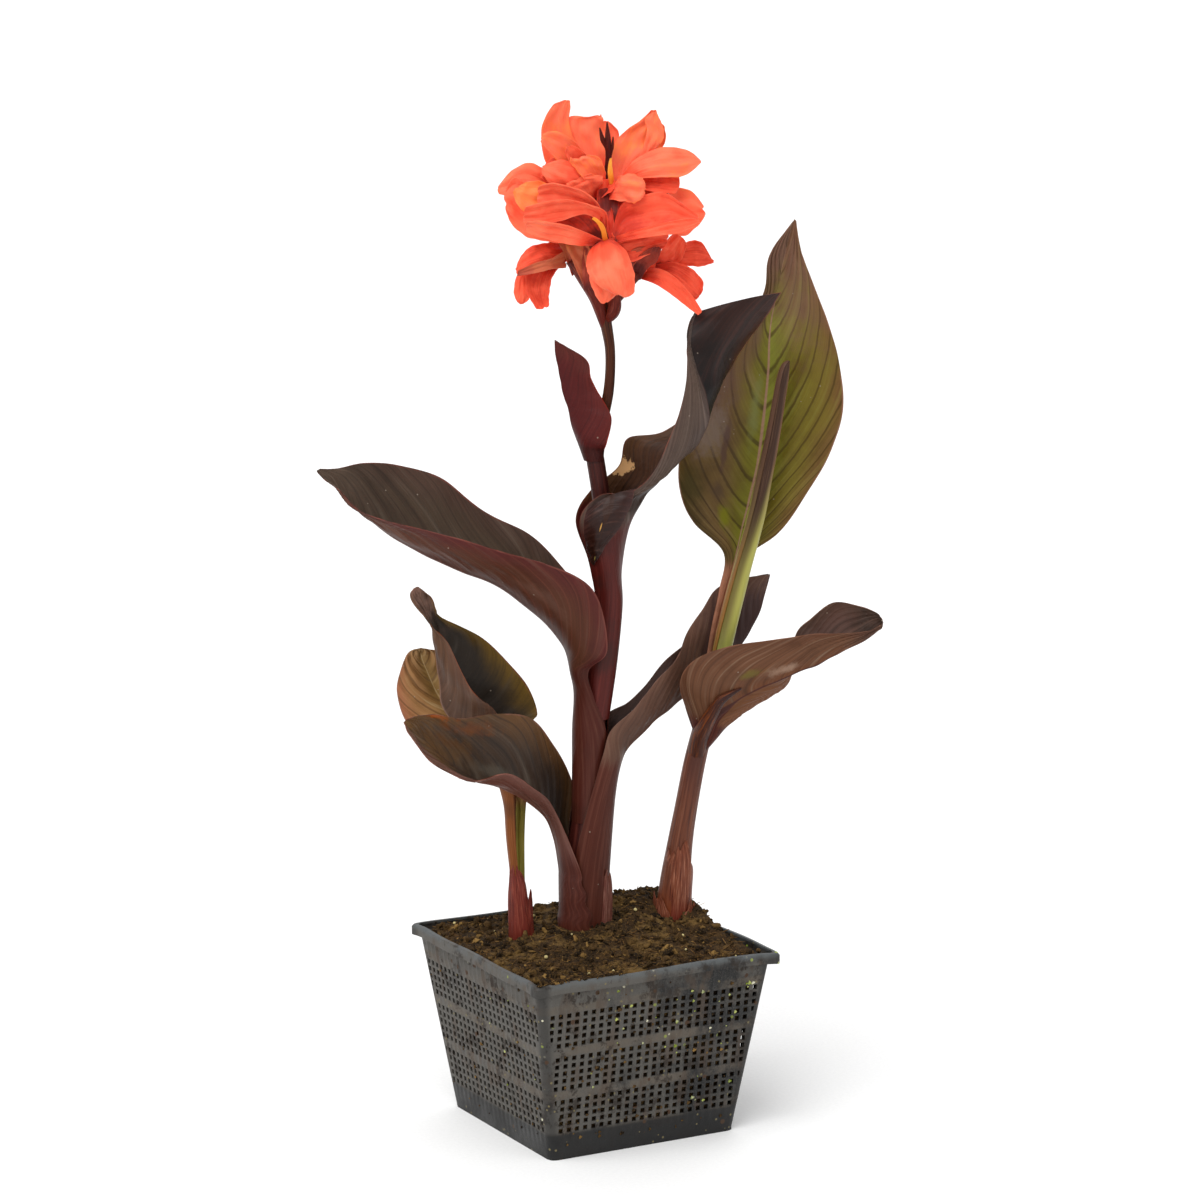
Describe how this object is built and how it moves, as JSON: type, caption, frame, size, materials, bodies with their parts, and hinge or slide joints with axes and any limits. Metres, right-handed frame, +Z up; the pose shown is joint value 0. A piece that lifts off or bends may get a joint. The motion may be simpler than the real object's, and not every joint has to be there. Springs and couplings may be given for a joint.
{
  "type": "potted canna lily plant",
  "caption": "Bronze-leaved canna lily with arching leaves and a head of coral flowers, growing in a square perforated plastic pond basket filled with soil.",
  "frame": {"origin": "centre of the basket's underside, on the surface it stands on", "axes": "+Z up along the plant, X and Y square to the basket's sides, with the widest spread of leaves near X"},
  "size_m": [0.3621, 0.1904, 0.7226],
  "materials": {
    "basket": "dusty black injection-moulded plastic",
    "peat": null,
    "stem": "smooth waxy plant stem, burgundy brown",
    "leaf_dark": "satin leaf, grey-brown with a reddish edge",
    "leaf_olive": "satin leaf, olive green with pink-brown veins",
    "leaf_brown": "satin leaf, warm brown",
    "leaf_bronze": "thin young leaf, tan bronze",
    "bract": "satin spathe, deep burgundy",
    "petal": "soft coral petals with orange-red throats"
  },
  "bodies": {
    "root": {"basket": "basket", "peat": "peat", "main_stem": "stem", "right_stem": "stem", "left_stem": "stem", "leaf_rolled": "leaf_olive", "bract": "bract", "leaf_upper_left": "leaf_dark", "leaf_lower_left": "leaf_dark", "leaf_middle_right": "leaf_dark", "leaf_scrolled": "leaf_dark", "leaf_tall_right": "leaf_olive", "leaf_low_right": "leaf_brown", "leaf_left_folded": "leaf_dark", "leaf_left_rear": "leaf_bronze", "bloom_head": "petal", "bloom_low_right": "petal", "bloom_low_left": "petal"}
  },
  "joints": []
}
